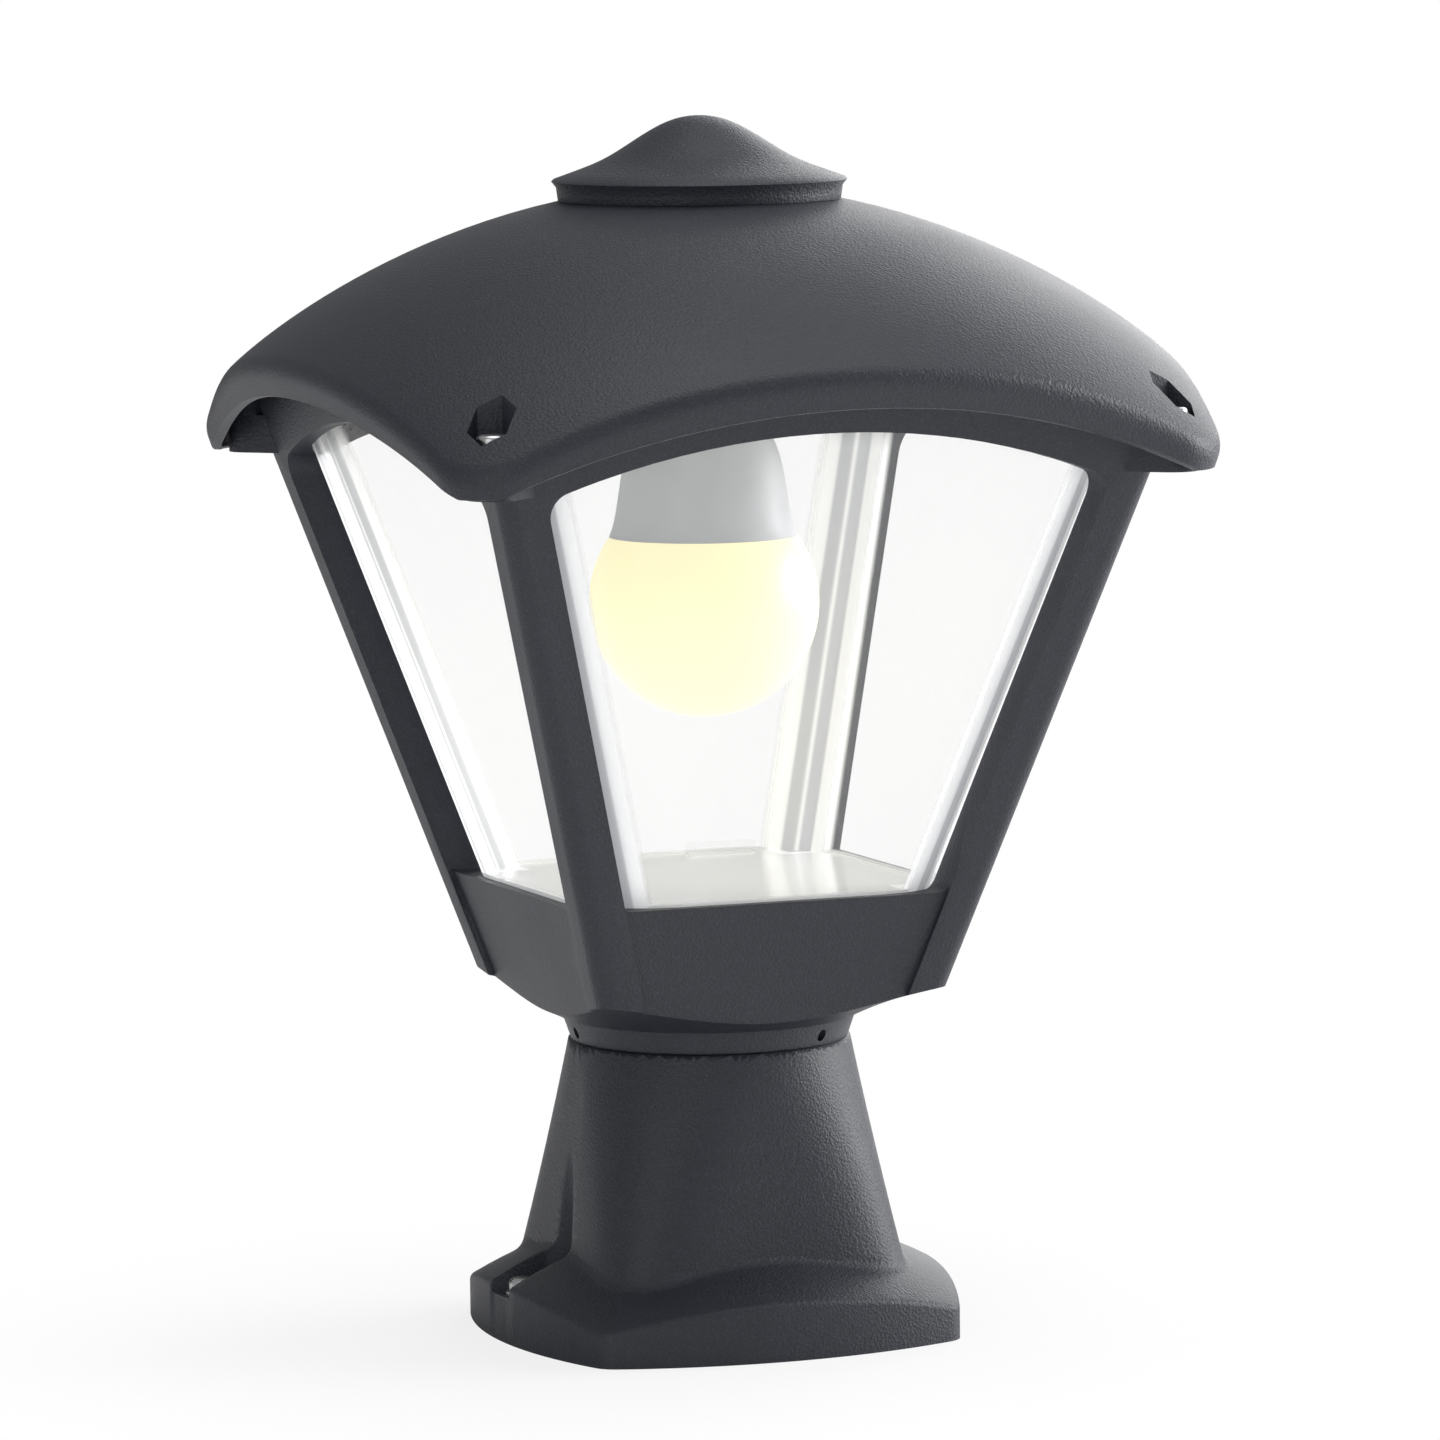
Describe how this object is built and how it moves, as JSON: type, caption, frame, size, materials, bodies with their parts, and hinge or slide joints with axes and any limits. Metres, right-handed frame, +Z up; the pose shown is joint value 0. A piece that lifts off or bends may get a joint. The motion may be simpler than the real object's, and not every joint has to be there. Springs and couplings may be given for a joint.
{
  "type": "pedestal garden lantern",
  "caption": "Low pedestal garden lantern: square foot, tapered column, turning four-post head with clear cup, lift-off domed hood, round finial and screw-in lamp.",
  "frame": {"origin": "centre of the foot's underside", "axes": "+Z up along the lantern's axis; the four window faces look along +X, -X, +Y and -Y; the two ground screws lie on the X axis"},
  "size_m": [0.2356, 0.2356, 0.3171],
  "materials": {
    "anthracite": "fine moulded grain, satin",
    "clear_diffuser": "clear, polished",
    "steel": "bright stainless",
    "brass": "plain",
    "solder": "dull",
    "black_nylon": "satin",
    "rubber": "matt",
    "white_plastic": "satin",
    "black_glass": "gloss",
    "nickel": "bright",
    "lamp_grey": "satin",
    "lamp_opal": "opal, glowing warm"
  },
  "bodies": {
    "foot_body": {"pedestal": "anthracite", "ground_screws": "steel", "ground_washers": "steel", "cable_gland": "black_nylon", "gland_nut": "black_nylon", "gland_seal": "rubber", "neck_seal": "rubber"},
    "head_body": {"lantern_frame": "anthracite", "neck_set_screws": "steel", "diffuser_cup": "clear_diffuser", "ear_inserts": "brass", "terminal_block": "white_plastic", "terminal_screws": "steel"},
    "hood_body": {"hood": "anthracite", "finial_cap": "anthracite", "finial_stud": "steel", "finial_nut": "steel", "finial_washer": "steel", "hood_screws": "steel", "hood_screw_washers": "steel", "gear_tray": "white_plastic", "tray_screws": "steel", "tray_seal": "rubber", "lampholder_body": "white_plastic", "lampholder_ring": "white_plastic", "lampholder_sleeve": "brass", "lampholder_contact": "brass"},
    "lamp_travel_body": {"lamp_tip_contact": "solder"},
    "lamp_body": {"lamp_insulator": "black_glass", "lamp_cap": "nickel", "lamp_housing": "lamp_grey", "lamp_led_board": "nickel", "lamp_globe": "lamp_opal"}
  },
  "joints": [
    {"name": "head_turn", "type": "hinge", "parent": "foot_body", "child": "head_body", "pos_m": [0, 0, 0.08], "axis": [0, 0, 1], "range_deg": [-180, 180]},
    {"name": "hood_lift", "type": "slide", "parent": "head_body", "child": "hood_body", "axis": [0, 0, 1], "range_m": [0, 0.12]},
    {"name": "lamp_travel", "type": "slide", "parent": "hood_body", "child": "lamp_travel_body", "axis": [0, 0, -1], "range_m": [0, 0.0255]},
    {"name": "lamp_turn", "type": "hinge", "parent": "lamp_travel_body", "child": "lamp_body", "pos_m": [0, 0, 0.25], "axis": [0, 0, -1], "range_deg": [0, 2520]}
  ],
  "couplings": [
    {"joint": "lamp_travel", "follows": "lamp_turn", "m_per_rad": 0.00057614}
  ]
}
